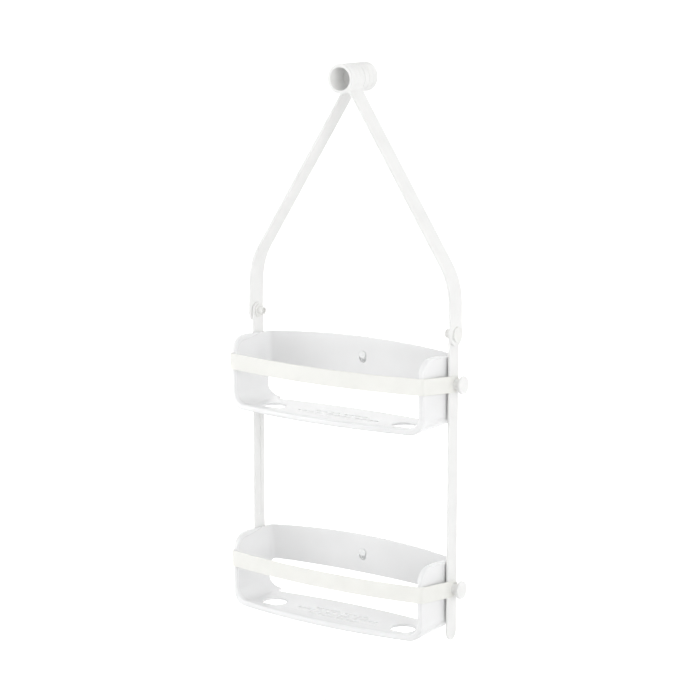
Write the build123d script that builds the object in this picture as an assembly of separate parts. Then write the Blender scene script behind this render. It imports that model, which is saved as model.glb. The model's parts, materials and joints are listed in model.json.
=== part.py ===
from build123d import *
from math import atan2, cos, degrees, radians, sin, sqrt, tan
import os

# Hanging shower caddy: two open-fronted trays on two soft straps, hung from a shower arm.
# Millimetres, +Z up, -Y towards the user. The origin is on the shower arm's axis, midway
# between the two grip rings at the top of the hanger straps.

# Hanger straps: grip ring, slanting arm, bend and vertical end
ARM_R = 12.0
RING_WALL = 3.4
RING_GAP = 0.4
RING_NECK_R = 5.0
RING_NECK_DROP = 24.0
RIB_COUNT = 3
RIB_GROOVE_WIDTH = 1.4
RIB_GROOVE_DEPTH = 0.8
RIB_ARC_DROP = 6.0
HANGER_WIDTH = 24.0
HANGER_THICK = 2.6
HANGER_ANGLE = 31.2
HANGER_BEND_R = 70.0
HANGER_END_RUN = 35.0
RING_ARM_OFFSET = 3.85

# Upright straps
UPRIGHT_WIDTH = 18.0
UPRIGHT_THICK = 2.6
UPRIGHT_TAIL = 12.5
GROOVE_WIDTH = 4.0
GROOVE_DEPTH = 1.0
GROOVE_CLEARANCE = 8.0

# Trays
TRAY_WIDTH = 240.0
TRAY_WALL = 2.8
FLOOR_THICK = 2.6
TRAY_HEIGHT = 72.0
BACK_ARCH = 4.5
SIDE_CROWN = 3.0
FRONT_REACH = 53.0
FRONT_BOW = 13.0
BACK_REACH = 12.0
BACK_BOW = 10.0
BOTTOM_CORNER_R = 15.0
BACK_CORNER_R = 11.0
FRONT_EDGE_R = 3.0
SIDE_TOP_CORNER_R = 19.0
SIDE_TOP_EDGE_R = 2.0
BACK_TOP_EDGE_R = 1.2
FLOOR_SETBACK = 12.0
FLOOR_BACK_CORNER_R = 9.0
WINDOW_HEIGHT = 34.5
WINDOW_CORNER_R = 9.0
RIM_DEPTH = 5.0
RIM_TOP_DEPTH = 6.0
RIM_WALL = 5.2
RIM_INNER_R = 1.8
LIP_RISE = 4.0
TRAY_BELOW_BUTTON = 95.5
TRAY_PITCH = 218.0

# Holes in the tray floor
BOTTLE_HOLE_R = 13.0
BOTTLE_HOLE_SPACING = 165.0
FLOOR_HOLES_Y = -28.5
SLOT_WIDTH = 3.8
SLOT_LENGTH = 31.0
SLOT_BRIDGE = 4.5
SLOT_ROW_PITCH = 8.0
SLOTS_IN_ROWS = (2, 3, 2)
HOLE_EDGE_R = 0.8

# Side bosses and locating pegs that carry a tray on the uprights
BOSS_R = 8.0
BOSS_HEIGHT = 2.4
KNOB_RISE = 43.5
PEG_R = 2.5
PEG_BELOW_KNOB = 15.0
PEG_LENGTH = 1.3
PEG_CLEARANCE = 0.1
SEAT_GAP = 0.05

# Knobs
SHANK_R = 2.8
SHANK_CLEARANCE = 0.05
SHANK_SKIN = 0.9
NECK_R = 5.2
NECK_LENGTH = 7.2
HEAD_R = 9.5
HEAD_THICK = 3.6
HEAD_ROUND = 1.2

# Front bands
BAND_HEIGHT = 17.5
BAND_THICK = 1.5
BAND_RISE = 49.0
BAND_BOW = 7.0
BAND_CLEARANCE = 0.1

# Snap buttons that pin the hanger straps to the uprights
CAP_R = 8.0
CAP_THICK = 1.8
CAP_ROUND = 0.7
POST_R = 3.0
POST_CLEARANCE = 0.08
SWING_GAP = 0.15
SOCKET_FLANGE_R = 7.3
SOCKET_FLANGE_THICK = 1.3
SOCKET_R = 4.5
SOCKET_LENGTH = 6.6
SOCKET_MOUTH_DEPTH = 2.4

# Suction cups and the keyholes that hold them
CUP_R = 14.0
CUP_DEPTH = 7.5
CUP_WALL = 1.6
CUP_LAND = 1.2
CUP_COLLAR_R = 5.0
CUP_COLLAR_LENGTH = 2.6
CUP_NECK_R = 2.6
CUP_HEAD_R = 4.2
CUP_HEAD_THICK = 1.5
CUP_RISE = 57.0
CUP_SEAT_GAP = 0.05
CUP_NECK_CLEARANCE = 0.1
KEYHOLE_CLEARANCE = 0.4
KEYHOLE_DROP = 4.2

# Places that follow from the sizes above
SIDE_FACE = TRAY_WIDTH / 2
BOSS_FACE = SIDE_FACE + BOSS_HEIGHT
UPRIGHT_INNER = BOSS_FACE + SEAT_GAP
UPRIGHT_OUTER = UPRIGHT_INNER + UPRIGHT_THICK
HANGER_INNER = UPRIGHT_OUTER + SWING_GAP
HANGER_OUTER = HANGER_INNER + HANGER_THICK
BAND_END_INNER = UPRIGHT_OUTER + SEAT_GAP
BAND_END_OUTER = BAND_END_INNER + BAND_THICK
ARM_SLOPE = radians(HANGER_ANGLE)
BEND_CENTRE_X = HANGER_INNER + HANGER_THICK / 2 - HANGER_BEND_R
ARM_FOOT_X = BEND_CENTRE_X + HANGER_BEND_R * cos(ARM_SLOPE)
ARM_FOOT_DROP = (ARM_FOOT_X - RING_ARM_OFFSET / cos(ARM_SLOPE)) / tan(ARM_SLOPE)
BEND_DROP = ARM_FOOT_DROP + HANGER_BEND_R * sin(ARM_SLOPE)
BUTTON_DROP = BEND_DROP + HANGER_END_RUN
UPPER_FLOOR_DROP = BUTTON_DROP + TRAY_BELOW_BUTTON
LOWER_FLOOR_DROP = UPPER_FLOOR_DROP + TRAY_PITCH
RING_OUTER_R = ARM_R + RING_WALL
RING_OFFSET = (HANGER_WIDTH + RING_GAP) / 2
PEG_RISE = KNOB_RISE - PEG_BELOW_KNOB
BACK_FACE = BACK_REACH + BACK_BOW
BACK_TRIM_Y = BACK_REACH - BACK_CORNER_R
CROWN = TRAY_HEIGHT + SIDE_CROWN
FAR = 2 * TRAY_WIDTH
ON_SURFACE = 0.01


def x_cylinder(radius, x_from, x_to, y=0.0, z=0.0):
    """Cylinder along X between two x positions."""
    middle = (x_from + x_to) / 2
    return Pos(middle, y, z) * Rot(0, 90, 0) * Cylinder(radius, x_to - x_from)


def y_cylinder(radius, y_from, y_to, x=0.0, z=0.0):
    """Cylinder along Y between two y positions."""
    middle = (y_from + y_to) / 2
    return Pos(x, middle, z) * Rot(90, 0, 0) * Cylinder(radius, y_to - y_from)


def extrude_x(sketch, x_from, x_to):
    """Extrude a sketch drawn as (y, z) between two x positions."""
    side_view = Plane(origin=(x_from, 0, 0), x_dir=(0, 1, 0), z_dir=(1, 0, 0))
    return extrude(side_view * sketch, amount=x_to - x_from)


def extrude_y(sketch, y_from, y_to):
    """Extrude a sketch drawn as (x, z) between two y positions."""
    front_view = Plane(origin=(0, y_to, 0), x_dir=(1, 0, 0), z_dir=(0, -1, 0))
    return extrude(front_view * sketch, amount=y_to - y_from)


def extrude_z(sketch, z_from, z_to):
    return extrude(Pos(0, 0, z_from) * sketch, amount=z_to - z_from)


def arc_drop(distance, reach, fall):
    """Drop at a distance from the crown of an arc that falls `fall` over `reach`."""
    radius = (reach ** 2 + fall ** 2) / (2 * fall)
    return radius - sqrt(radius ** 2 - distance ** 2)


def bowed(x, bow):
    """How far a bow over the tray's whole width still stands proud at x."""
    return bow - arc_drop(x, SIDE_FACE, bow)


def front_y(x):
    """Where the tray's bowed front stands at x."""
    return -FRONT_REACH - bowed(x, FRONT_BOW)


# Hanger strap

def arm_outline():
    """Bend and slanting arm of a hanger strap in the x-z plane, up to the ring's axis."""
    start = Vector(BEND_CENTRE_X, -BEND_DROP)
    along = Vector(-sin(ARM_SLOPE), cos(ARM_SLOPE))
    sides = []
    for radius in (HANGER_BEND_R - HANGER_THICK / 2, HANGER_BEND_R + HANGER_THICK / 2):
        foot = start + Vector(radius, 0)
        middle = start + Vector(cos(ARM_SLOPE / 2), sin(ARM_SLOPE / 2)) * radius
        top = start + Vector(cos(ARM_SLOPE), sin(ARM_SLOPE)) * radius
        tip = top + along * (-top.Y / cos(ARM_SLOPE))
        sides.append((foot, middle, top, tip))
    inner, outer = sides
    return make_face([
        ThreePointArc(inner[0], inner[1], inner[2]),
        Line(inner[2], inner[3]),
        Line(inner[3], outer[3]),
        Line(outer[3], outer[2]),
        ThreePointArc(outer[2], outer[1], outer[0]),
        Line(outer[0], inner[0]),
    ])


def on_ring(point):
    """True on the lower half of the ring's outer surface."""
    off_surface = abs(sqrt(point.X ** 2 + point.Z ** 2) - RING_OUTER_R)
    return point.Z < -RING_WALL and off_surface < ON_SURFACE


def hanger_strap():
    """Right hanger strap: its ring is the front one, so the arm leans back to the button."""
    half = HANGER_WIDTH / 2
    end = Pos(0, HANGER_END_RUN / 2 - BUTTON_DROP) * Rectangle(HANGER_WIDTH, HANGER_END_RUN)
    end = end + Pos(0, -BUTTON_DROP) * Circle(half)
    arm = extrude_y(arm_outline(), -half, half) + extrude_x(end, HANGER_INNER, HANGER_OUTER)
    lean = degrees(atan2(RING_OFFSET, BUTTON_DROP - RING_NECK_DROP))
    arm = Pos(0, 0, -BUTTON_DROP) * Rot(lean, 0, 0) * Pos(0, 0, BUTTON_DROP) * arm
    beside_ring = Box(FAR, FAR, 2 * RING_NECK_DROP)
    beside_ring = beside_ring - Pos(0, -RING_OFFSET, 0) * Box(FAR, HANGER_WIDTH, FAR)
    ring = y_cylinder(RING_OUTER_R, -RING_OFFSET - half, -RING_OFFSET + half)
    strap = ring + (arm - beside_ring)
    neck = strap.edges().filter_by(lambda e: on_ring(e.center()) and e.length > RING_OUTER_R)
    strap = fillet(neck, RING_NECK_R)
    groove_ring = Circle(RING_OUTER_R + RING_WALL) - Circle(RING_OUTER_R - RIB_GROOVE_DEPTH)
    groove_ring = groove_ring - Pos(0, -RIB_ARC_DROP - RING_OUTER_R) * Rectangle(FAR, 2 * RING_OUTER_R)
    for k in range(1, RIB_COUNT):
        y = -RING_OFFSET - half + k * HANGER_WIDTH / RIB_COUNT
        strap = strap - extrude_y(groove_ring, y - RIB_GROOVE_WIDTH / 2, y + RIB_GROOVE_WIDTH / 2)
    strap = strap - y_cylinder(ARM_R, -FAR, FAR)
    return strap - x_cylinder(POST_R + POST_CLEARANCE, 0, FAR, z=-BUTTON_DROP)


# Upright strap

def upright_strap():
    """Right upright strap with its holes, blind peg seats and the groove on its inner face."""
    top = -BUTTON_DROP + UPRIGHT_WIDTH / 2
    bottom = -LOWER_FLOOR_DROP - UPRIGHT_TAIL
    outline = Pos(0, (top + bottom) / 2) * Rot(0, 0, 90) * SlotOverall(top - bottom, UPRIGHT_WIDTH)
    strap = extrude_x(outline, UPRIGHT_INNER, UPRIGHT_OUTER)
    groove_top = -UPPER_FLOOR_DROP - FLOOR_THICK
    groove_bottom = -LOWER_FLOOR_DROP + TRAY_HEIGHT + GROOVE_CLEARANCE
    groove = Pos(0, (groove_top + groove_bottom) / 2) * Rot(0, 0, 90) * SlotOverall(
        groove_top - groove_bottom, GROOVE_WIDTH)
    strap = strap - extrude_x(groove, 0, UPRIGHT_INNER + GROOVE_DEPTH)
    strap = strap - x_cylinder(POST_R + SHANK_CLEARANCE, 0, FAR, z=-BUTTON_DROP)
    for floor_drop in (UPPER_FLOOR_DROP, LOWER_FLOOR_DROP):
        strap = strap - x_cylinder(SHANK_R + SHANK_CLEARANCE, 0, FAR, z=KNOB_RISE - floor_drop)
        seat_end = UPRIGHT_INNER + PEG_LENGTH + PEG_CLEARANCE
        strap = strap - x_cylinder(PEG_R + PEG_CLEARANCE, 0, seat_end, z=PEG_RISE - floor_drop)
    return strap


# Tray, drawn with the top of its floor at z = 0

def tray_plan(inset):
    """Outline from above: bowed front and back, straight sides, round back corners."""
    side = SIDE_FACE - inset
    front = front_y(side)
    back = BACK_REACH + bowed(side, BACK_BOW) - inset
    plan = make_face([
        ThreePointArc((-side, front), (0, front_y(0)), (side, front)),
        Line((side, front), (side, back)),
        ThreePointArc((side, back), (0, BACK_FACE - inset), (-side, back)),
        Line((-side, back), (-side, front)),
    ])
    return fillet(plan.vertices().filter_by(lambda v: v.Y > 0), BACK_CORNER_R - inset)


def trough(inset, floor_level, corner_r):
    """U-shaped space between the tray's sides and above a level, open at the top."""
    top = floor_level + FAR
    section = Pos(0, (floor_level + top) / 2) * Rectangle(2 * (SIDE_FACE - inset), FAR)
    section = fillet(section.vertices().filter_by(lambda v: v.Y < top - 1), corner_r)
    return extrude_y(section, -FAR, FAR)


def back_window():
    """Opening under the back panel; its lower corners follow the tray's inner surface."""
    section = Pos(0, WINDOW_HEIGHT / 2) * Rectangle(2 * (SIDE_FACE - TRAY_WALL), WINDOW_HEIGHT)
    top = section.vertices().group_by(Axis.Y)[-1]
    section = fillet(top, WINDOW_CORNER_R)
    bottom = section.vertices().group_by(Axis.Y)[0]
    section = fillet(bottom, BOTTOM_CORNER_R - TRAY_WALL)
    return extrude_y(section, 0, FAR)


def behind_floor():
    """Space behind the floor's rear edge, between the tray's rounded bottom corners."""
    side = SIDE_FACE - BOTTOM_CORNER_R
    reach = BACK_REACH + bowed(side, BACK_BOW) - FLOOR_SETBACK
    plan = make_face([
        ThreePointArc((-side, reach), (0, BACK_FACE - FLOOR_SETBACK), (side, reach)),
        Line((side, reach), (side, FAR)),
        Line((side, FAR), (-side, FAR)),
        Line((-side, FAR), (-side, reach)),
    ])
    plan = fillet(plan.vertices().group_by(Axis.Y)[0], FLOOR_BACK_CORNER_R)
    return extrude_z(plan, -2 * FLOOR_THICK, FLOOR_THICK)


def above_side_edge(inset):
    """Space over the sides' top edge and in front of its round corner, `inset` further in.

    With no inset the edge falls to the rear; further in it rises, so a rim ends in a point.
    """
    start_y = front_y(SIDE_FACE - RIM_WALL) + inset
    crown_y = start_y - inset + SIDE_TOP_CORNER_R
    corner_z = CROWN - SIDE_TOP_CORNER_R
    slant = (SIDE_TOP_CORNER_R - inset) * cos(radians(45))
    rear_z = CROWN if inset else TRAY_HEIGHT
    side_view = make_face([
        Line((-FAR, corner_z), (start_y, corner_z)),
        ThreePointArc((start_y, corner_z), (crown_y - slant, corner_z + slant), (crown_y, CROWN - inset)),
        TangentArc((crown_y, CROWN - inset), (BACK_TRIM_Y, rear_z), tangent=(1, 0)),
        Line((BACK_TRIM_Y, rear_z), (BACK_TRIM_Y, FAR)),
        Line((BACK_TRIM_Y, FAR), (-FAR, FAR)),
        Line((-FAR, FAR), (-FAR, corner_z)),
    ])
    return extrude_x(side_view, -FAR, FAR)


def above_back_edge():
    """Space over the arched top edge of the back panel."""
    front_view = make_face([
        ThreePointArc((-SIDE_FACE, TRAY_HEIGHT), (0, TRAY_HEIGHT + BACK_ARCH), (SIDE_FACE, TRAY_HEIGHT)),
        Line((SIDE_FACE, TRAY_HEIGHT), (SIDE_FACE, FAR)),
        Line((SIDE_FACE, FAR), (-SIDE_FACE, FAR)),
        Line((-SIDE_FACE, FAR), (-SIDE_FACE, TRAY_HEIGHT)),
    ])
    return extrude_y(front_view, BACK_TRIM_Y, FAR)


def rim():
    """Thicker rounded edge of the open front: the floor's lip, side posts and top corners."""
    plan = tray_plan(0)
    opening = trough(RIM_WALL, LIP_RISE, BOTTOM_CORNER_R - TRAY_WALL)
    strip = plan - Pos(0, RIM_DEPTH) * plan
    strip = strip & Pos(0, -FAR / 2) * Rectangle(FAR, FAR)
    lip = extrude_z(strip, -FLOOR_THICK, CROWN)
    post_back = front_y(SIDE_FACE - RIM_WALL) + RIM_TOP_DEPTH
    posts = Pos(0, post_back - FAR / 2, 0) * Box(FAR, FAR, 2 * FAR)
    sides = extrude_z(plan, 0, CROWN) & (posts + above_side_edge(RIM_TOP_DEPTH))
    edge = (lip - opening) + (sides - opening)
    inner = edge.edges().filter_by(
        lambda e: opening.distance_to(e.center()) < ON_SURFACE and e.center().Z < CROWN - ON_SURFACE)
    return fillet(inner, RIM_INNER_R)


def on_floor(z):
    """True at the height of the floor's upper or lower face."""
    return min(abs(z), abs(z + FLOOR_THICK)) < ON_SURFACE


def floor_holes():
    """Bottle holes at both ends of the floor and the drain slots between them."""
    holes = [Pos(side * BOTTLE_HOLE_SPACING / 2, FLOOR_HOLES_Y) * Circle(BOTTLE_HOLE_R)
             for side in (-1, 1)]
    step = SLOT_LENGTH + SLOT_BRIDGE
    for row, count in enumerate(SLOTS_IN_ROWS):
        y = FLOOR_HOLES_Y + (row - (len(SLOTS_IN_ROWS) - 1) / 2) * SLOT_ROW_PITCH
        for k in range(count):
            holes.append(Pos((k - (count - 1) / 2) * step, y) * SlotOverall(SLOT_LENGTH, SLOT_WIDTH))
    return extrude_z(Sketch() + holes, -2 * FLOOR_THICK, FLOOR_THICK)


def keyhole():
    """Hole in the back panel that the suction cup's head enters and its neck slides up in."""
    neck_r = CUP_NECK_R + CUP_NECK_CLEARANCE
    entry = Pos(0, CUP_RISE - KEYHOLE_DROP) * Circle(CUP_HEAD_R + KEYHOLE_CLEARANCE)
    slot = Pos(0, CUP_RISE - KEYHOLE_DROP / 2) * Rectangle(2 * neck_r, KEYHOLE_DROP)
    top = Pos(0, CUP_RISE) * Circle(neck_r)
    return extrude_y(entry + slot + top, 0, FAR)


def tray_blank():
    """Solid block inside the tray's outer surface, with its front and top edges rounded."""
    blank = extrude_z(tray_plan(0), -FLOOR_THICK, CROWN + BACK_ARCH)
    blank = blank & trough(0, -FLOOR_THICK, BOTTOM_CORNER_R)
    front = blank.faces().sort_by(Axis.Y)[0]
    blank = fillet(front.edges().sort_by(Axis.Z)[:-1], FRONT_EDGE_R)
    blank = blank - above_side_edge(0) - above_back_edge()
    side_tops = blank.edges().filter_by(GeomType.CIRCLE).filter_by(
        lambda e: abs(abs(e.center().X) - SIDE_FACE) < ON_SURFACE and e.center().Z > WINDOW_HEIGHT)
    blank = fillet(side_tops, SIDE_TOP_EDGE_R)
    back_tops = blank.edges().filter_by(
        lambda e: e.center().Y > BACK_TRIM_Y + SIDE_TOP_EDGE_R and e.center().Z > TRAY_HEIGHT)
    return fillet(back_tops, BACK_TOP_EDGE_R)


def tray():
    """One moulded tray with its side bosses, locating pegs and blind knob holes."""
    blank = tray_blank()
    cavity = extrude_z(tray_plan(TRAY_WALL) + Pos(0, -FAR / 2) * Rectangle(
        2 * (SIDE_FACE - TRAY_WALL), FAR), -FAR, FAR)
    cavity = cavity & trough(TRAY_WALL, 0, BOTTOM_CORNER_R - TRAY_WALL)
    body = (blank - cavity) + (rim() & blank)
    holes = floor_holes()
    body = body - back_window() - behind_floor() - holes
    hole_edges = body.edges().filter_by(
        lambda e: on_floor(e.center().Z) and holes.distance_to(e.center()) < ON_SURFACE)
    body = fillet(hole_edges, HOLE_EDGE_R) - keyhole()
    for side in (-1, 1):
        embed = SIDE_FACE - TRAY_WALL / 2
        ends = sorted((side * embed, side * BOSS_FACE))
        body = body + x_cylinder(BOSS_R, *ends, z=KNOB_RISE)
        ends = sorted((side * embed, side * (UPRIGHT_INNER + PEG_LENGTH)))
        body = body + x_cylinder(PEG_R, *ends, z=PEG_RISE)
        ends = sorted((side * (SIDE_FACE - TRAY_WALL + SHANK_SKIN), side * FAR))
        body = body - x_cylinder(SHANK_R + SHANK_CLEARANCE, *ends, z=KNOB_RISE)
    return body


# Band, knob, buttons and suction cup

def front_band():
    """Soft strap across the tray's front; its ends slope down to the knobs."""
    side = SIDE_FACE + BAND_CLEARANCE
    rim_flat = SIDE_FACE - RIM_WALL + RIM_INNER_R
    front = front_y(rim_flat) - BAND_CLEARANCE + bowed(rim_flat, BAND_BOW)
    start = -UPRIGHT_WIDTH / 2
    inner = make_face([
        ThreePointArc((-side, front), (0, front - BAND_BOW), (side, front)),
        Line((side, front), (BAND_END_INNER, start)),
        Line((BAND_END_INNER, start), (BAND_END_INNER, FAR)),
        Line((BAND_END_INNER, FAR), (-BAND_END_INNER, FAR)),
        Line((-BAND_END_INNER, FAR), (-BAND_END_INNER, start)),
        Line((-BAND_END_INNER, start), (-side, front)),
    ])
    corner_r = FRONT_EDGE_R + BAND_CLEARANCE
    inner = fillet(inner.vertices().filter_by(lambda v: v.Y < start - corner_r), corner_r)
    outer = offset(inner, amount=BAND_THICK)
    half = BAND_HEIGHT / 2
    run = make_face(Polyline(
        (-FAR, BAND_RISE - half), (front, BAND_RISE - half), (0, KNOB_RISE - half),
        (0, KNOB_RISE + half), (front, BAND_RISE + half), (-FAR, BAND_RISE + half), close=True))
    run = run + Pos(0, KNOB_RISE) * Circle(half)
    band = extrude_z(outer - inner, 0, TRAY_HEIGHT) & extrude_x(run, -FAR, FAR)
    return band - x_cylinder(SHANK_R + SHANK_CLEARANCE, -FAR, FAR, z=KNOB_RISE)


def knob():
    """Right-hand knob, drawn on the x axis: shank through band and upright into the tray."""
    neck_start = BAND_END_OUTER + SEAT_GAP
    neck_end = neck_start + NECK_LENGTH
    shank_end = SIDE_FACE - TRAY_WALL + SHANK_SKIN + SHANK_CLEARANCE
    head = x_cylinder(HEAD_R, neck_end, neck_end + HEAD_THICK)
    head = fillet(head.edges().filter_by(GeomType.CIRCLE), HEAD_ROUND)
    neck = x_cylinder(NECK_R, neck_start, neck_end + HEAD_THICK / 2)
    shank = x_cylinder(SHANK_R, shank_end, neck_end)
    return head + neck + shank


def button_cap():
    """Outer half of the right snap button: rounded cap and the post through both straps."""
    cap_start = HANGER_OUTER + SWING_GAP
    cap = x_cylinder(CAP_R, cap_start, cap_start + CAP_THICK)
    cap = fillet(cap.edges().filter_by(GeomType.CIRCLE).sort_by(Axis.X)[-1], CAP_ROUND)
    post = x_cylinder(POST_R, UPRIGHT_INNER - SOCKET_FLANGE_THICK, cap_start + CAP_THICK / 2)
    return Pos(0, 0, -BUTTON_DROP) * (cap + post)


def button_socket():
    """Inner half of the right snap button: flange against the upright and a hollow stub."""
    face = UPRIGHT_INNER - SEAT_GAP
    flange = x_cylinder(SOCKET_FLANGE_R, face - SOCKET_FLANGE_THICK, face)
    stub = x_cylinder(SOCKET_R, face - SOCKET_LENGTH, face)
    bore = x_cylinder(POST_R + SHANK_CLEARANCE, UPRIGHT_INNER - SOCKET_FLANGE_THICK - SEAT_GAP, FAR)
    mouth = x_cylinder(POST_R, face - SOCKET_LENGTH, face - SOCKET_LENGTH + SOCKET_MOUTH_DEPTH)
    return Pos(0, 0, -BUTTON_DROP) * (flange + stub - bore - mouth)


def suction_cup():
    """Cup behind a tray, drawn with its axis on the y axis: head, neck, collar and soft skirt."""
    head_back = BACK_FACE - TRAY_WALL - CUP_SEAT_GAP
    collar_start = BACK_FACE + CUP_SEAT_GAP
    skirt_start = collar_start + CUP_COLLAR_LENGTH
    rim_y = skirt_start + CUP_DEPTH
    hollow_y = skirt_start + CUP_WALL
    hollow_r = CUP_R - CUP_LAND
    flare = CUP_R - CUP_COLLAR_R
    half_section = make_face([
        Line((0, head_back - CUP_HEAD_THICK), (CUP_HEAD_R, head_back - CUP_HEAD_THICK)),
        Line((CUP_HEAD_R, head_back - CUP_HEAD_THICK), (CUP_HEAD_R, head_back)),
        Line((CUP_HEAD_R, head_back), (CUP_NECK_R, head_back)),
        Line((CUP_NECK_R, head_back), (CUP_NECK_R, collar_start)),
        Line((CUP_NECK_R, collar_start), (CUP_COLLAR_R, collar_start)),
        Line((CUP_COLLAR_R, collar_start), (CUP_COLLAR_R, skirt_start)),
        ThreePointArc((CUP_COLLAR_R, skirt_start),
                      (CUP_COLLAR_R + flare / 2, skirt_start + arc_drop(flare / 2, flare, CUP_DEPTH)),
                      (CUP_R, rim_y)),
        Line((CUP_R, rim_y), (hollow_r, rim_y)),
        ThreePointArc((hollow_r, rim_y),
                      (hollow_r / 2, hollow_y + arc_drop(hollow_r / 2, hollow_r, CUP_DEPTH - CUP_WALL)),
                      (0, hollow_y)),
        Line((0, hollow_y), (0, head_back - CUP_HEAD_THICK)),
    ])
    return revolve(half_section, Axis.Y)


def build_parts():
    """Every named piece in its place."""
    right_hanger = hanger_strap()
    right_upright = upright_strap()
    right_cap = button_cap()
    right_socket = button_socket()
    parts = {
        "right_hanger_strap": right_hanger,
        "left_hanger_strap": Rot(0, 0, 180) * right_hanger,
        "right_upright_strap": right_upright,
        "left_upright_strap": mirror(right_upright, Plane.YZ),
        "right_button_cap": right_cap,
        "left_button_cap": mirror(right_cap, Plane.YZ),
        "right_button_socket": right_socket,
        "left_button_socket": mirror(right_socket, Plane.YZ),
    }
    shelf = tray()
    band = front_band()
    right_knob = knob()
    left_knob = mirror(right_knob, Plane.YZ)
    cup = suction_cup()
    for level, floor_drop in (("upper", UPPER_FLOOR_DROP), ("lower", LOWER_FLOOR_DROP)):
        parts[level + "_tray"] = Pos(0, 0, -floor_drop) * shelf
        parts[level + "_front_band"] = Pos(0, 0, -floor_drop) * band
        parts[level + "_right_knob"] = Pos(0, 0, KNOB_RISE - floor_drop) * right_knob
        parts[level + "_left_knob"] = Pos(0, 0, KNOB_RISE - floor_drop) * left_knob
        parts[level + "_suction_cup"] = Pos(0, 0, CUP_RISE - floor_drop) * cup
    return parts


os.makedirs("parts", exist_ok=True)
for name, shape in build_parts().items():
    export_step(shape, f"parts/{name}.step")
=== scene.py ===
"""Looks for the hanging shower caddy: soft straps, bands and cups, materials, stage and camera.

Metres, in the CAD frame: +Z up, +Y towards the wall, origin on the shower arm's axis.
"""
import json
import math

import bpy
from mathutils import Matrix, Vector


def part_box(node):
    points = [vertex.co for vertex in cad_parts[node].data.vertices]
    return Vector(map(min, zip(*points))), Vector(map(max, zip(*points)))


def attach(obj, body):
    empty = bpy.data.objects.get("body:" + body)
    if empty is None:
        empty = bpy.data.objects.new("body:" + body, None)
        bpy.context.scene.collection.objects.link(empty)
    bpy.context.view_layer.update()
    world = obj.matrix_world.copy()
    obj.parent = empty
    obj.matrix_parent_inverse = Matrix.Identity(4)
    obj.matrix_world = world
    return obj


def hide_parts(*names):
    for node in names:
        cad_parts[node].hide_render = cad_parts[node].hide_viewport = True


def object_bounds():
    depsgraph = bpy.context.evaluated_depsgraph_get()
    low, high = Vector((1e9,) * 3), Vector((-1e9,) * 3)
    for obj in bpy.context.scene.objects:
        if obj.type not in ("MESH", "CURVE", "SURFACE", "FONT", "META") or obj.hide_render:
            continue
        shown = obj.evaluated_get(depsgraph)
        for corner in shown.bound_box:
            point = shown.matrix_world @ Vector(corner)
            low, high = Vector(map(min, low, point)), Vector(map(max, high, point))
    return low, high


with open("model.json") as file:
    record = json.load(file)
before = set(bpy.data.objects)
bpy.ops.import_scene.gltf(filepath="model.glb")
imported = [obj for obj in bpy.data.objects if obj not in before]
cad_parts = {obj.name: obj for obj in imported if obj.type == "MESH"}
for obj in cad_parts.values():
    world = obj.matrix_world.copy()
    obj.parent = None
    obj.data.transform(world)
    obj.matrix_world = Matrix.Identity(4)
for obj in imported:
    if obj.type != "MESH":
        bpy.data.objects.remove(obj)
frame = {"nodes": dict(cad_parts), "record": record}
cad_low, cad_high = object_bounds()

# Hanger straps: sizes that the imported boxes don't give
HANGER_THICK = 0.0026
HANGER_ANGLE = math.radians(31.2)
HANGER_BEND_R = 0.070
HANGER_END_RUN = 0.035
RING_NECK_R = 0.005
RING_NECK_DROP = 0.024
RING_GROOVES = 2
RING_GROOVE_WIDTH = 0.0016
RING_GROOVE_DEPTH = 0.0008
RING_GROOVE_SHAPE = ((-0.5, 0.0), (-0.25, 0.8), (0.0, 1.0), (0.25, 0.8), (0.5, 0.0))
RING_GROOVE_FADE = (0.6, 0.1)    # shares of the ring's radius below it: no groove, full groove
HANGER_END_STATIONS = (0.008, 0.018)
STRAP_ROUND = 0.0008
ROUND_LIMIT = 0.98    # largest rounding, as a share of the half width or thickness
TIP_LIMIT = 1e-10    # smallest half width squared, so that a round end never closes to nothing

# Upright straps
UPRIGHT_WIDTH = 0.018
UPRIGHT_GROOVE_WIDTH = 0.004
UPRIGHT_GROOVE_DEPTH = 0.001
UPRIGHT_GROOVE_EDGE = 0.0003
UPRIGHT_GROOVE_GAP = 0.008
UPRIGHT_GROOVE_STATIONS = (-0.004, -0.002, 0.0, 0.0005, 0.001, 0.002)
GROOVE_WALL = 0.4    # share of the depth at the top of the groove's wall
GROOVE_FLOOR = 0.9    # share of the groove's half width that is flat floor
GROOVE_REACH = 0.5    # widest groove, as a share of the strap's half width

# Front bands, and the tray sizes that they follow
BAND_THICK = 0.0015
BAND_ROUND = STRAP_ROUND * 0.9
BAND_BOW = 0.007
BAND_SAG = 0.0016
BAND_CLEARANCE = 0.0001
BAND_END_BEND_R = 0.03
BAND_RISE = 0.049
KNOB_RISE = 0.0435
FLOOR_THICK = 0.0026
SIDE_RELIEF = 0.00375
TRAY_EDGE_R = 0.003

# Suction cups: (share of the radius, share of the depth) from the head round to the inside
CUP_PROFILE = [
    (0.0, 0.0), (0.15, 0.0), (0.27, 0.01), (0.30, 0.04), (0.30, 0.09), (0.186, 0.105),
    (0.186, 0.30), (0.34, 0.305), (0.36, 0.33), (0.36, 0.46), (0.40, 0.485), (0.52, 0.51),
    (0.66, 0.565), (0.80, 0.66), (0.91, 0.79), (0.985, 0.93), (1.0, 0.975), (0.99, 0.998),
    (0.955, 1.0), (0.925, 0.975), (0.86, 0.86), (0.74, 0.755), (0.58, 0.675), (0.40, 0.625),
    (0.20, 0.60), (0.0, 0.595)]

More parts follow.
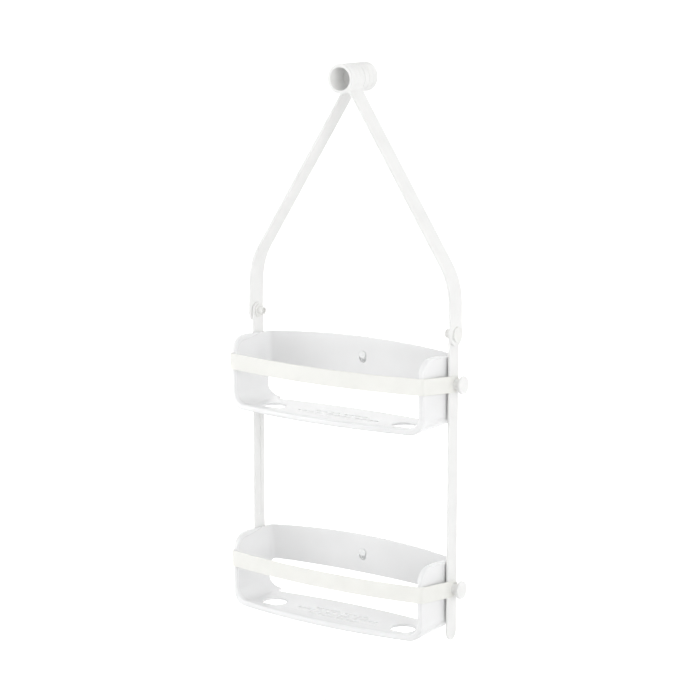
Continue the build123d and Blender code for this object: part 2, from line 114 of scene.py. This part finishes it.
# Mesh fineness: how many steps each curve takes
CORNER_STEPS = 4
TIP_STEPS = 14
NECK_STEPS = 8
RING_STEPS = 72
ARM_STEPS = 24
BEND_STEPS = 12
UPRIGHT_GROOVE_STEPS = 10
UPRIGHT_TOP_STEPS = 6
BAND_STEPS = 40
BAND_TURN_STEP = 9    # degrees
BAND_TURN_STEPS_LEAST = 3
BAND_TURN_LEAST = 0.001    # radians
CUP_STEPS = 64
MERGE_DISTANCE = 0.00001

LEVELS = ("upper", "lower")
SIDES = ("left", "right")


# Mesh helpers

def new_object(name, vertices, faces):
    mesh = bpy.data.meshes.new(name)
    mesh.from_pydata([tuple(v) for v in vertices], [], faces)
    mesh.validate()
    mesh.polygons.foreach_set("use_smooth", [True] * len(mesh.polygons))
    piece = bpy.data.objects.new(name, mesh)
    bpy.context.collection.objects.link(piece)
    return piece


def skin(loops, closed_path=False, start_cap=True):
    """Vertices and faces of a tube through equal closed loops of points."""
    count = len(loops[0])
    vertices = [p for loop in loops for p in loop]
    faces = []
    last = len(loops) if closed_path else len(loops) - 1
    for i in range(last):
        a, b = i * count, (i + 1) % len(loops) * count
        for k in range(count):
            n = (k + 1) % count
            faces.append((a + k, a + n, b + n, b + k))
    if start_cap and not closed_path:
        faces.append(tuple(reversed(range(count))))
    if not closed_path:
        faces.append(tuple(range((len(loops) - 1) * count, len(loops) * count)))
    return vertices, faces


def joined(*parts):
    """Several (vertices, faces) as one."""
    vertices, faces = [], []
    for part_vertices, part_faces in parts:
        base = len(vertices)
        vertices += part_vertices
        faces += [tuple(base + i for i in face) for face in part_faces]
    return vertices, faces


def finish_piece(name, geometry, body, slot, material, *nodes):
    """Makes a piece that rides on a body and stands for CAD nodes."""
    piece = new_object(name, *geometry)
    piece.data.materials.append(material)
    weld = piece.modifiers.new("weld", "WELD")
    weld.merge_threshold = MERGE_DISTANCE
    normals = piece.modifiers.new("normals", "WEIGHTED_NORMAL")
    normals.keep_sharp = True
    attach(piece, body)
    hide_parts(*nodes)
    return piece


def strap_section(half_width, half_thick, rounding, dents=()):
    """Closed loop of (across, through) points: a flat bar with rounded edges.

    dents are (across, depth) marks on the -through face, listed in rising order.
    """
    r = min(rounding, half_width * ROUND_LIMIT, half_thick * ROUND_LIMIT)
    corners = [(half_width - r, half_thick - r, 0), (-half_width + r, half_thick - r, 90),
               (-half_width + r, -half_thick + r, 180), (half_width - r, -half_thick + r, 270)]
    loop = []
    for number, (across, through, start) in enumerate(corners):
        for step in range(CORNER_STEPS + 1):
            angle = math.radians(start + 90 * step / CORNER_STEPS)
            loop.append((across + r * math.cos(angle), through + r * math.sin(angle)))
        if number == 2:
            loop += [(place, -half_thick + depth) for place, depth in dents]
    return loop


def round_end(distance, radius):
    """Half width of a full round end at a distance from its tip."""
    rest = max(0.0, radius - distance)
    return math.sqrt(max(radius * radius - rest * rest, TIP_LIMIT))


def tip_stations(radius):
    """Distances from the tip that space a round end evenly."""
    return [radius * (1 - math.cos(math.radians(90) * i / TIP_STEPS)) for i in range(TIP_STEPS + 1)]


def edge_points(size):
    """(depth, inset) of points round an edge, from the side to the face."""
    turns = [math.radians(90) * step / CORNER_STEPS for step in range(CORNER_STEPS + 1)]
    return [(size * (1 - math.sin(turn)), size * (1 - math.cos(turn))) for turn in turns]


# Materials

MOTTLE_DETAIL = 3.0
MOTTLE_RANGE = (0.35, 0.65)
GRAIN_DETAIL = 6.0


def noise(nodes, links, scale, detail, coordinates):
    texture = nodes.new("ShaderNodeTexNoise")
    texture.inputs["Scale"].default_value = scale
    texture.inputs["Detail"].default_value = detail
    links.new(coordinates.outputs["Object"], texture.inputs["Vector"])
    return texture


def ranged(nodes, links, source, low, high):
    """Maps a 0-1 texture to a low-high value."""
    node = nodes.new("ShaderNodeMapRange")
    node.inputs["To Min"].default_value = low
    node.inputs["To Max"].default_value = high
    links.new(source, node.inputs["Value"])
    return node


def surface(name, colours, roughness, grain, bump, **sockets):
    """Principled material: two near colours mottled together, uneven roughness, fine bump.

    roughness is (lowest, highest), grain is (scale of the fine grain, scale of the mottling) and
    bump is (strength, distance).
    """
    material = bpy.data.materials.new(name)
    material.use_nodes = True
    nodes, links = material.node_tree.nodes, material.node_tree.links
    shader = nodes["Principled BSDF"]
    coordinates = nodes.new("ShaderNodeTexCoord")
    fine_scale, broad_scale = grain
    broad = noise(nodes, links, broad_scale, MOTTLE_DETAIL, coordinates)
    fine = noise(nodes, links, fine_scale, GRAIN_DETAIL, coordinates)
    ramp = nodes.new("ShaderNodeValToRGB")
    for stop, position, colour in zip(ramp.color_ramp.elements, MOTTLE_RANGE, colours):
        stop.position = position
        stop.color = (*colour, 1)
    links.new(broad.outputs["Fac"], ramp.inputs["Fac"])
    links.new(ramp.outputs["Color"], shader.inputs["Base Color"])
    rough = ranged(nodes, links, fine.outputs["Fac"], *roughness)
    links.new(rough.outputs["Result"], shader.inputs["Roughness"])
    strength, distance = bump
    relief = nodes.new("ShaderNodeBump")
    relief.inputs["Strength"].default_value = strength
    relief.inputs["Distance"].default_value = distance
    links.new(fine.outputs["Fac"], relief.inputs["Height"])
    links.new(relief.outputs["Normal"], shader.inputs["Normal"])
    for socket, value in sockets.items():
        shader.inputs[socket.replace("_", " ")].default_value = value
    return material


silicone = surface("white_silicone", ((0.86, 0.86, 0.85), (0.89, 0.89, 0.88)),
                   (0.50, 0.64), (1400, 40), (0.18, 0.0002),
                   Specular_IOR_Level=0.35, Sheen_Weight=0.08)
band_silicone = surface("warm_white_silicone", ((0.85, 0.85, 0.815), (0.88, 0.88, 0.845)),
                        (0.50, 0.64), (1400, 40), (0.18, 0.0002),
                        Specular_IOR_Level=0.35, Sheen_Weight=0.08)
moulded = surface("white_moulded_plastic", ((0.85, 0.852, 0.855), (0.87, 0.872, 0.875)),
                  (0.20, 0.30), (900, 25), (0.06, 0.0002),
                  Specular_IOR_Level=0.45, Coat_Weight=0.08, Coat_Roughness=0.25)
knob_plastic = surface("white_knob_plastic", ((0.86, 0.86, 0.85), (0.885, 0.885, 0.875)),
                       (0.38, 0.50), (1200, 60), (0.10, 0.0002), Specular_IOR_Level=0.4)
button_plastic = surface("white_button_plastic", ((0.82, 0.82, 0.80), (0.85, 0.85, 0.83)),
                         (0.30, 0.42), (1200, 60), (0.08, 0.0002), Specular_IOR_Level=0.5)
cup_rubber = surface("pale_cup_rubber", ((0.86, 0.87, 0.87), (0.88, 0.89, 0.89)),
                     (0.30, 0.40), (700, 50), (0.05, 0.0002), Specular_IOR_Level=0.45)


# Hanger straps

hanger_low, hanger_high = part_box("right_hanger_strap")
ring_r = hanger_high.z
hanger_half = hanger_high.y
ring_middle = hanger_low.y + hanger_half
button_z = hanger_low.z + hanger_half
strap_half = HANGER_THICK / 2
bend = Vector((hanger_high.x - strap_half - HANGER_BEND_R, button_z + HANGER_END_RUN))
outward = Vector((math.cos(HANGER_ANGLE), math.sin(HANGER_ANGLE)))
along = Vector((math.sin(HANGER_ANGLE), -math.cos(HANGER_ANGLE)))
bend_top = bend + outward * HANGER_BEND_R
arm_offset = bend_top.dot(outward)


def hanger_lean(z):
    """The strap's middle across its width: at the ring's middle above the neck, 0 at the button."""
    share = (z - button_z) / (-RING_NECK_DROP - button_z)
    return ring_middle * min(1.0, max(0.0, share))


def neck_side(sign):
    """(across, down, normal) points up one side of the neck and round its fillet to the ring."""
    line = arm_offset + sign * strap_half
    across = line + sign * RING_NECK_R
    reach = math.sqrt((ring_r + RING_NECK_R) ** 2 - across ** 2)
    toward_ring = math.atan2(-reach, -across)
    toward_line = math.atan2(0, -sign)
    if toward_ring - toward_line > math.pi:
        toward_ring -= 2 * math.pi
    if toward_ring - toward_line < -math.pi:
        toward_ring += 2 * math.pi
    turns = [toward_line + (toward_ring - toward_line) * i / NECK_STEPS
             for i in range(NECK_STEPS + 1)]
    fillet = [(across + RING_NECK_R * math.cos(a), reach + RING_NECK_R * math.sin(a),
               -math.cos(a), -math.sin(a)) for a in turns]
    return [(line, RING_NECK_DROP, sign, 0.0)] + fillet


def groove_points():
    """(place across the ring, share of the depth) along the ribbed face."""
    points = []
    for k in range(1, RING_GROOVES + 1):
        centre = -hanger_half + 2 * hanger_half * k / (RING_GROOVES + 1)
        points += [(centre + RING_GROOVE_WIDTH * place, share)
                   for place, share in RING_GROOVE_SHAPE]
    return points


def ring_geometry():
    """Ribbed grip ring and neck, open where the arm starts."""
    mounts = {mount["name"]: mount for mount in frame["record"]["mounts"]}
    arm_r = mounts["shower_arm"]["dims"]["r_mm"] / 1000
    outer_line, inner_line = neck_side(1), neck_side(-1)
    first = math.atan2(outer_line[-1][1], outer_line[-1][0])
    last = math.atan2(inner_line[-1][1], inner_line[-1][0]) - 2 * math.pi
    turns = [first + (last - first) * i / RING_STEPS for i in range(1, RING_STEPS)]
    ring = [(ring_r * math.cos(a), ring_r * math.sin(a), math.cos(a), math.sin(a)) for a in turns]
    stations = outer_line + ring + inner_line[::-1]
    arm_start = len(stations) - 1
    stations += [(arm_offset - strap_half + HANGER_THICK * i / 3, RING_NECK_DROP, 0.0, 0.0)
                 for i in (1, 2)]

    face_edge, bore_edge = edge_points(STRAP_ROUND), edge_points(STRAP_ROUND / 2)
    grooves = groove_points()
    fade_start, fade_end = RING_GROOVE_FADE
    outer_side = Vector(outer_line[1][:2]).normalized()
    loops = []
    for number, (across, down, normal_a, normal_d) in enumerate(stations):
        outer, normal = Vector((across, down)), Vector((normal_a, normal_d))
        above_arm = number == 0 or number >= arm_start - 1
        radial = outer_side if above_arm else outer.normalized()
        inner = radial * arm_r
        on_ring = max(0.0, min(1.0, (fade_start - down / ring_r) / (fade_start - fade_end)))
        section = [(outer - normal * depth, hanger_half - inset) for depth, inset in face_edge]
        section += [(outer - normal * RING_GROOVE_DEPTH * share * on_ring, place)
                    for place, share in reversed(grooves)]
        section += [(outer - normal * depth, -hanger_half + inset)
                    for depth, inset in reversed(face_edge)]
        section += [(inner + radial * depth, -hanger_half + inset) for depth, inset in bore_edge]
        section += [(inner + radial * depth, hanger_half - inset)
                    for depth, inset in reversed(bore_edge)]
        loop = []
        for point, y in section:
            place = outward * point.x + along * point.y
            loop.append(Vector((place.x, ring_middle + y, place.y)))
        loops.append(loop)
    vertices, faces = skin(loops, closed_path=True)
    count = len(loops[0])
    outer_points = count - len(bore_edge) * 2
    open_to_arm = {station * count + k for station in range(arm_start, len(loops))
                   for k in range(outer_points - 1)}
    return vertices, [f[::-1] for number, f in enumerate(faces) if number not in open_to_arm]


def arm_geometry():
    """Slanting arm, bend and round end."""
    line = []    # (place on the centreline, outward normal)
    neck = outward * arm_offset + along * RING_NECK_DROP
    straight = (bend_top - neck).length
    for i in range(ARM_STEPS + 1):
        line.append((neck + along * straight * i / ARM_STEPS, outward))
    for i in range(1, BEND_STEPS + 1):
        angle = HANGER_ANGLE * (1 - i / BEND_STEPS)
        direction = Vector((math.cos(angle), math.sin(angle)))
        line.append((bend + direction * HANGER_BEND_R, direction))
    tip_z = hanger_low.z
    heights = [bend.y - drop for drop in HANGER_END_STATIONS]
    heights += [tip_z + d for d in reversed(tip_stations(hanger_half))]
    for z in heights:
        line.append((Vector((hanger_high.x - strap_half, z)), Vector((1.0, 0.0))))
    loops = []
    for point, normal in line:
        width = round_end(point.y - tip_z, hanger_half) if point.y < button_z else hanger_half
        loop = []
        for across, through in strap_section(width, strap_half, STRAP_ROUND):
            place = point + normal * through
            loop.append(Vector((place.x, hanger_lean(point.y) + across, place.y)))
        loops.append(loop)
    return skin(loops, start_cap=False)


def turned(geometry, matrix):
    """Geometry moved by a matrix; its faces stay outward where the matrix mirrors."""
    vertices, faces = geometry
    moved = [matrix @ v for v in vertices]
    if matrix.determinant() < 0:
        faces = [tuple(reversed(face)) for face in faces]
    return moved, faces


right_hanger = joined(ring_geometry(), arm_geometry())
finish_piece("right_hanger", right_hanger, "hanger", "strap", silicone, "right_hanger_strap")
finish_piece("left_hanger", turned(right_hanger, Matrix.Rotation(math.pi, 3, "Z")),
             "hanger", "strap", silicone, "left_hanger_strap")


# Upright straps

def upright_geometry():
    """Right upright: flat strap, round ends, a groove on its inner face between the trays."""
    low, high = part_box("right_upright_strap")
    half_width, half = high.y, (high.x - low.x) / 2
    groove_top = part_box("upper_tray")[0].z
    groove_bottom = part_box("lower_tray")[1].z + UPRIGHT_GROOVE_GAP
    tips = tip_stations(half_width)
    heights = [low.z + d for d in tips]
    heights += [groove_bottom + d for d in UPRIGHT_GROOVE_STATIONS]
    heights += [groove_bottom + (groove_top - groove_bottom) * i / UPRIGHT_GROOVE_STEPS
                for i in range(1, UPRIGHT_GROOVE_STEPS)]
    heights += [groove_top - d for d in UPRIGHT_GROOVE_STATIONS]
    heights += [groove_top + (high.z - half_width - groove_top) * i / UPRIGHT_TOP_STEPS
                for i in range(1, UPRIGHT_TOP_STEPS)]
    heights += [high.z - d for d in reversed(tips)]
    loops = []
    for z in sorted(heights):
        width = min(round_end(z - low.z, half_width), round_end(high.z - z, half_width))
        inside = min(z - groove_bottom, groove_top - z)
        half_groove = UPRIGHT_GROOVE_WIDTH / 2
        opened = round_end(min(max(inside, 0.0), half_groove), half_groove)
        reach = min(opened, width * GROOVE_REACH)
        depth = UPRIGHT_GROOVE_DEPTH if inside > 0 else 0.0
        edge = reach + UPRIGHT_GROOVE_EDGE
        dents = [(-edge, 0.0), (-reach, depth * GROOVE_WALL), (-reach * GROOVE_FLOOR, depth),
                 (reach * GROOVE_FLOOR, depth), (reach, depth * GROOVE_WALL), (edge, 0.0)]
        loop = []
        for across, through in strap_section(width, half, STRAP_ROUND, dents):
            loop.append(Vector((low.x + half + through, across, z)))
        loops.append(loop)
    vertices, faces = skin(loops)
    return vertices, [face[::-1] for face in faces]


right_upright = upright_geometry()
mirror = Matrix.Diagonal((-1, 1, 1))
finish_piece("right_upright", right_upright, "rack", "strap", silicone, "right_upright_strap")
finish_piece("left_upright", turned(right_upright, mirror), "rack", "strap", silicone,
             "left_upright_strap")


# Front bands

def rounded_path(points, radii):
    """Polyline in plan whose corners are rounded by the given radii."""
    path = [points[0]]
    for before, corner, after, radius in zip(points, points[1:], points[2:], radii):
        into, out = (corner - before).normalized(), (after - corner).normalized()
        turn = into.angle(out, 0.0)
        if radius == 0 or turn < BAND_TURN_LEAST:
            path.append(corner)
            continue
        start = corner - into * radius * math.tan(turn / 2)
        inward = (out - into * into.dot(out)).normalized()
        steps = max(BAND_TURN_STEPS_LEAST, int(math.degrees(turn) / BAND_TURN_STEP))
        for i in range(steps + 1):
            swept = turn * i / steps
            path.append(start + (into * math.sin(swept) + inward * (1 - math.cos(swept))) * radius)
    path.append(points[-1])
    return path


def band_geometry(level):
    """Band across a tray's front; its sides slope to the knobs and end in full rounds."""
    low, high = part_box(level + "_front_band")
    tray_low, tray_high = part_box(level + "_tray")
    floor = tray_low.z + FLOOR_THICK
    half = BAND_THICK / 2
    half_height = high.y
    end_x = high.x - half
    corner_y = low.y + BAND_BOW + half
    corner_x = tray_high.x - SIDE_RELIEF + BAND_CLEARANCE + half
    radius = (corner_x ** 2 + BAND_BOW ** 2) / (2 * BAND_BOW)
    front = []
    for i in range(BAND_STEPS + 1):
        x = corner_x * (1 - 2 * i / BAND_STEPS)
        forward = math.sqrt(radius ** 2 - x ** 2) - (radius - BAND_BOW)
        front.append(Vector((x, corner_y - forward)))
    start = -UPRIGHT_WIDTH / 2
    side = [Vector((end_x, half_height - d)) for d in tip_stations(half_height)]
    plan = side + [Vector((end_x, start))] + front
    plan += [Vector((-end_x, start))] + [Vector((-p.x, p.y)) for p in reversed(side)]
    radii = [0.0] * (len(plan) - 2)
    first_bend = len(side)
    corner_r = TRAY_EDGE_R + BAND_CLEARANCE + half
    for index, size in ((first_bend, BAND_END_BEND_R), (first_bend + 1, corner_r)):
        radii[index - 1] = size
        radii[len(plan) - 1 - index - 1] = size
    path = rounded_path(plan, radii)
    loops = []
    for i, point in enumerate(path):
        before, after = path[max(i - 1, 0)], path[min(i + 1, len(path) - 1)]
        tangent = (after - before).normalized()
        normal = Vector((-tangent.y, tangent.x))
        share = min(1.0, max(0.0, point.y / corner_y))
        middle = floor + KNOB_RISE + (BAND_RISE - KNOB_RISE) * share
        if point.y < corner_y:
            middle -= BAND_SAG * (1 - (point.x / corner_x) ** 2)
        height = half_height
        if point.y > 0:
            height = round_end(half_height - point.y, half_height)
        loop = []
        for across, through in strap_section(height, half, BAND_ROUND):
            place = point - normal * through
            loop.append(Vector((place.x, place.y, middle + across)))
        loops.append(loop)
    return skin(loops)


for level in LEVELS:
    finish_piece(level + "_band", band_geometry(level), "rack", "strap", band_silicone,
                 level + "_front_band")


# Suction cups

def cup_geometry(level):
    """Cup turned about a line along Y: head, neck, collar, thin skirt with a lip and a ring."""
    low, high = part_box(level + "_suction_cup")
    centre_z = (low.z + high.z) / 2
    cup_r = (high.z - low.z) / 2
    depth = high.y - low.y
    loops = []
    for i in range(CUP_STEPS):
        angle = 2 * math.pi * i / CUP_STEPS
        loops.append([Vector((cup_r * r * math.cos(angle), low.y + depth * y,
                              centre_z + cup_r * r * math.sin(angle))) for r, y in CUP_PROFILE])
    vertices, faces = skin(loops, closed_path=True)
    count = len(CUP_PROFILE)
    faces = [f for f in faces if not (f[0] % count == count - 1 and f[1] % count == 0)]
    return vertices, faces


for level in LEVELS:
    finish_piece(level + "_cup", cup_geometry(level), "rack", "cup", cup_rubber,
                 level + "_suction_cup")


# Moulded CAD nodes keep their shapes and take better materials

def dress(node, material):
    """New material for a CAD piece that keeps its shape."""
    piece = frame["nodes"][node]
    for slot in piece.material_slots:
        slot.material = material


for level in LEVELS:
    dress(level + "_tray", moulded)
    for side in SIDES:
        dress(level + "_" + side + "_knob", knob_plastic)
for side in SIDES:
    dress(side + "_button_cap", button_plastic)
    dress(side + "_button_socket", button_plastic)


# Stage

def seen_directly(nodes, links):
    """1 where the ray comes from the camera, a reflection or a see-through surface, else 0."""
    path = nodes.new("ShaderNodeLightPath")
    total = path.outputs["Is Camera Ray"]
    for kind in ("Is Glossy Ray", "Is Transmission Ray"):
        add = nodes.new("ShaderNodeMath")
        add.operation = "ADD"
        add.use_clamp = True
        links.new(total, add.inputs[0])
        links.new(path.outputs[kind], add.inputs[1])
        total = add.outputs[0]
    return total


def scaled(nodes, links, source, factor, base=0.0):
    """base + source * factor."""
    node = nodes.new("ShaderNodeMath")
    node.operation = "MULTIPLY_ADD"
    node.inputs[1].default_value = factor
    node.inputs[2].default_value = base
    links.new(source, node.inputs[0])
    return node.outputs[0]


def stage_material(name, colour, lift):
    """Matte pale surface, seen a little lighter than it is lit and clear from behind."""
    material = bpy.data.materials.new(name)
    material.use_nodes = True
    nodes, links = material.node_tree.nodes, material.node_tree.links
    nodes.clear()
    output = nodes.new("ShaderNodeOutputMaterial")
    diffuse = nodes.new("ShaderNodeBsdfDiffuse")
    diffuse.inputs["Color"].default_value = (*colour, 1)
    glow = nodes.new("ShaderNodeEmission")
    links.new(scaled(nodes, links, seen_directly(nodes, links), lift), glow.inputs["Strength"])
    both = nodes.new("ShaderNodeAddShader")
    links.new(diffuse.outputs[0], both.inputs[0])
    links.new(glow.outputs[0], both.inputs[1])
    behind = nodes.new("ShaderNodeNewGeometry")
    clear = nodes.new("ShaderNodeBsdfTransparent")
    mix = nodes.new("ShaderNodeMixShader")
    links.new(behind.outputs["Backfacing"], mix.inputs["Fac"])
    links.new(both.outputs[0], mix.inputs[1])
    links.new(clear.outputs[0], mix.inputs[2])
    links.new(mix.outputs[0], output.inputs["Surface"])
    return material


def plane(name, corners, material):
    piece = new_object(name, [Vector(c) for c in corners], [(0, 1, 2, 3)])
    piece.data.materials.append(material)
    return piece


WALL_GAP = 0.02
FLOOR_DROP = 0.25
STAGE_REACH = 4.0
STAGE_COLOUR = (0.86, 0.86, 0.86)
WALL_LIFT = 0.55
FLOOR_LIFT = 0.30

# The wall stands behind the rack's swing about the snap buttons
hinge_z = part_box("right_button_cap")[0].z
wall_y = hinge_z - cad_low.z + WALL_GAP
floor_z = cad_low.z - FLOOR_DROP
pale_wall = stage_material("pale_wall", STAGE_COLOUR, WALL_LIFT)
pale_floor = stage_material("pale_floor", STAGE_COLOUR, FLOOR_LIFT)
plane("wall", [(-STAGE_REACH, wall_y, floor_z), (STAGE_REACH, wall_y, floor_z),
               (STAGE_REACH, wall_y, STAGE_REACH), (-STAGE_REACH, wall_y, STAGE_REACH)],
      pale_wall)
plane("floor", [(-STAGE_REACH, -STAGE_REACH, floor_z), (STAGE_REACH, -STAGE_REACH, floor_z),
                (STAGE_REACH, STAGE_REACH, floor_z), (-STAGE_REACH, STAGE_REACH, floor_z)],
      pale_floor)


# Light

LAMP_SIZE = 1.4
LAMPS = {"right": ((2.2, -1.2, 0.2), 22.8), "low_left": ((-1.6, -1.4, -0.2), 17.8),
         "high_left": ((-1.2, -2.0, 1.0), 4.9), "top": ((0.2, -0.7, 2.0), 7.1)}
WORLD_LEVEL = 0.45


def area_light(name, place, target, power):
    light = bpy.data.lights.new(name, "AREA")
    light.size = LAMP_SIZE
    light.energy = power
    lamp = bpy.data.objects.new(name, light)
    lamp.location = place
    lamp.rotation_euler = (Vector(target) - Vector(place)).to_track_quat("-Z", "Y").to_euler()
    bpy.context.collection.objects.link(lamp)


for name, (place, power) in LAMPS.items():
    area_light(name, place, (cad_low + cad_high) / 2, power)

world = bpy.data.worlds.new("studio")
world.use_nodes = True
nodes, links = world.node_tree.nodes, world.node_tree.links
background = nodes["Background"]
background.inputs["Color"].default_value = (1.0, 1.0, 1.0, 1)
world_strength = scaled(nodes, links, seen_directly(nodes, links), 1.0 - WORLD_LEVEL, WORLD_LEVEL)
links.new(world_strength, background.inputs["Strength"])
bpy.context.scene.world = world


# Camera

CAMERA_AZIMUTH = math.radians(33.84)
CAMERA_PITCH = math.radians(10.62)
CAMERA_PLACE = (1.2537, -1.8752, 0.1667)
CAMERA_LENS = 112.2
CAMERA_SHIFT = -0.04
camera_data = bpy.data.cameras.new("camera")
camera_data.lens = CAMERA_LENS
camera_data.shift_y = CAMERA_SHIFT
camera = bpy.data.objects.new("camera", camera_data)
camera.location = CAMERA_PLACE
look = Vector((-math.sin(CAMERA_AZIMUTH) * math.cos(CAMERA_PITCH),
               math.cos(CAMERA_AZIMUTH) * math.cos(CAMERA_PITCH), -math.sin(CAMERA_PITCH)))
camera.rotation_euler = look.to_track_quat("-Z", "Y").to_euler()
bpy.context.collection.objects.link(camera)
bpy.context.scene.camera = camera
bpy.context.scene.view_settings.view_transform = "Standard"
